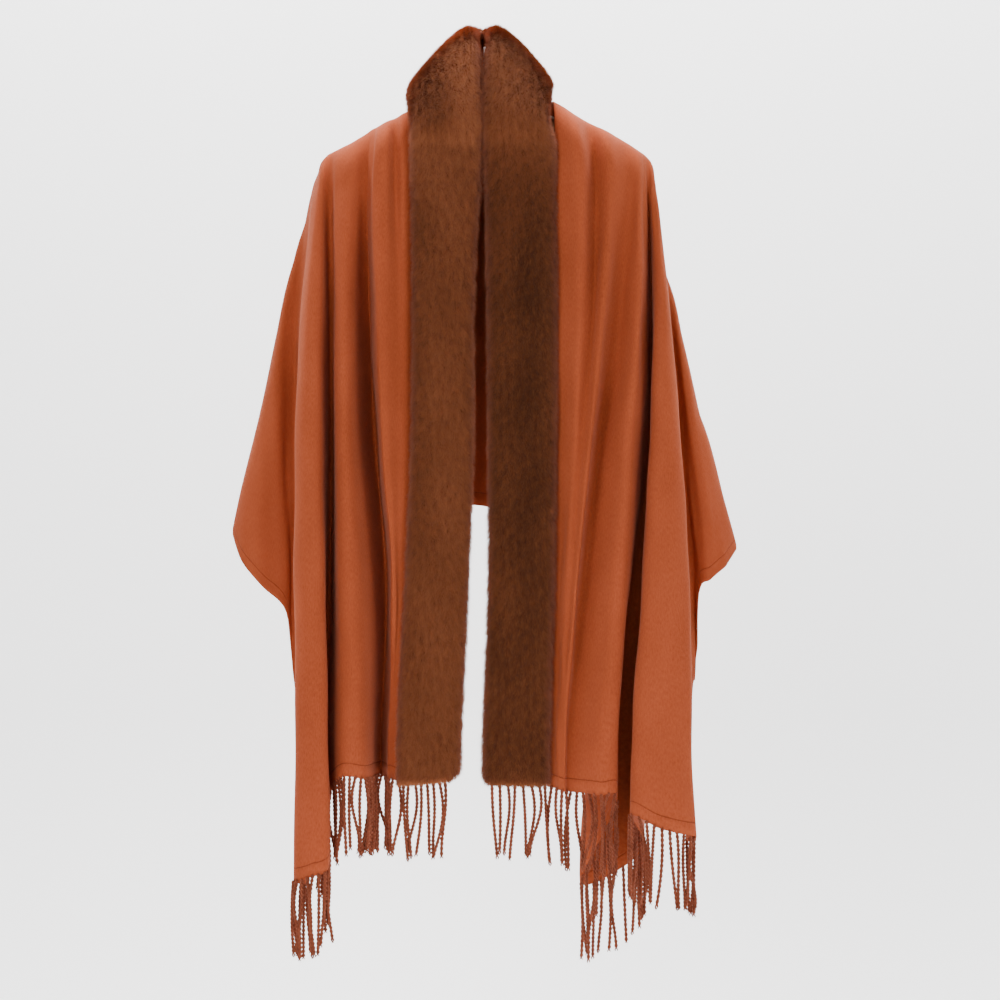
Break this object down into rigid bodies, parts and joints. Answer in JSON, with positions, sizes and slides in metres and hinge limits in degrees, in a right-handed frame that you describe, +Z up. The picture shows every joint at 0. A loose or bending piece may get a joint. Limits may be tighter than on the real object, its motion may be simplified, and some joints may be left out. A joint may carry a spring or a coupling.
{
  "type": "fur collar wrap on a hanger",
  "caption": "Fringed wool shawl with a plush fur band along one edge, hung as a shoulder wrap on a plain hanger, fur edge down both fronts.",
  "frame": {"origin": "inside top of the hanger's hook, in the fold of the fur collar", "axes": "+Z up, -Y towards the open front with the two fur bands, +X to the right as seen from the front"},
  "size_m": [0.579, 0.1693, 1.0774],
  "materials": {
    "cloth": "brushed wool",
    "fur": "plush pile",
    "hanger": "satin",
    "hook": "satin"
  },
  "bodies": {
    "root": {"shawl_front_left": "cloth", "shawl_front_right": "cloth", "shawl_back": "cloth", "fur_collar_left": "fur", "fur_collar_right": "fur", "fringe_left": "cloth", "fringe_right": "cloth", "hanger_arms": "hanger", "hanger_hook": "hook"}
  },
  "joints": []
}
